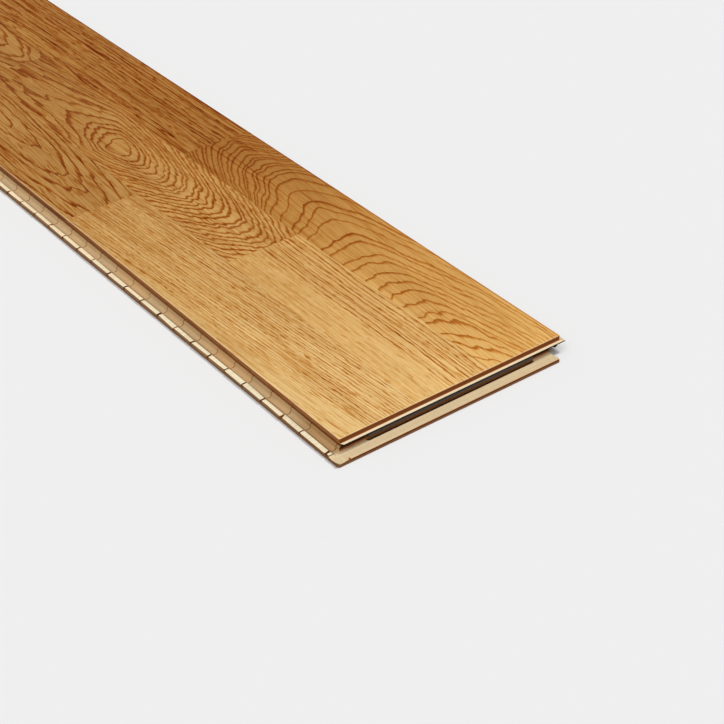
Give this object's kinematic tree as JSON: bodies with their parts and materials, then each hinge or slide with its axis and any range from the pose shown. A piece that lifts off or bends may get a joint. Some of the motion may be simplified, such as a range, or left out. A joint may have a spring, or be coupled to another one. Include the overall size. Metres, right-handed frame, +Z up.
{
  "type": "three-strip engineered oak floorboard",
  "caption": "Long flat engineered floorboard with a three-strip oak face on a core of cross sticks, click-profiled on all edges, laid to make a floating floor.",
  "frame": {"origin": "middle of the underside of the whole board, edge profiles included", "axes": "+X along the board towards its lipped short end, +Y towards its tongue edge, +Z up through the oak face"},
  "size_m": [2.2114, 0.2198, 0.014],
  "materials": {
    "lacquered_oak": "satin lacquered oak, golden, with open grain",
    "core_softwood": "bare sawn and milled softwood",
    "backing_softwood": "bare rotary-cut softwood veneer",
    "black_plastic": "satin black plastic"
  },
  "bodies": {
    "root": {"backing_veneer": "backing_softwood", "core_sticks": "core_softwood", "locking_strip": "black_plastic", "oak_stave_left_1": "lacquered_oak", "oak_stave_left_2": "lacquered_oak", "oak_stave_left_3": "lacquered_oak", "oak_stave_left_4": "lacquered_oak", "oak_stave_left_5": "lacquered_oak", "oak_stave_middle_1": "lacquered_oak", "oak_stave_middle_2": "lacquered_oak", "oak_stave_middle_3": "lacquered_oak", "oak_stave_middle_4": "lacquered_oak", "oak_stave_middle_5": "lacquered_oak", "oak_stave_right_1": "lacquered_oak", "oak_stave_right_2": "lacquered_oak", "oak_stave_right_3": "lacquered_oak", "oak_stave_right_4": "lacquered_oak", "oak_stave_right_5": "lacquered_oak"}
  },
  "joints": []
}
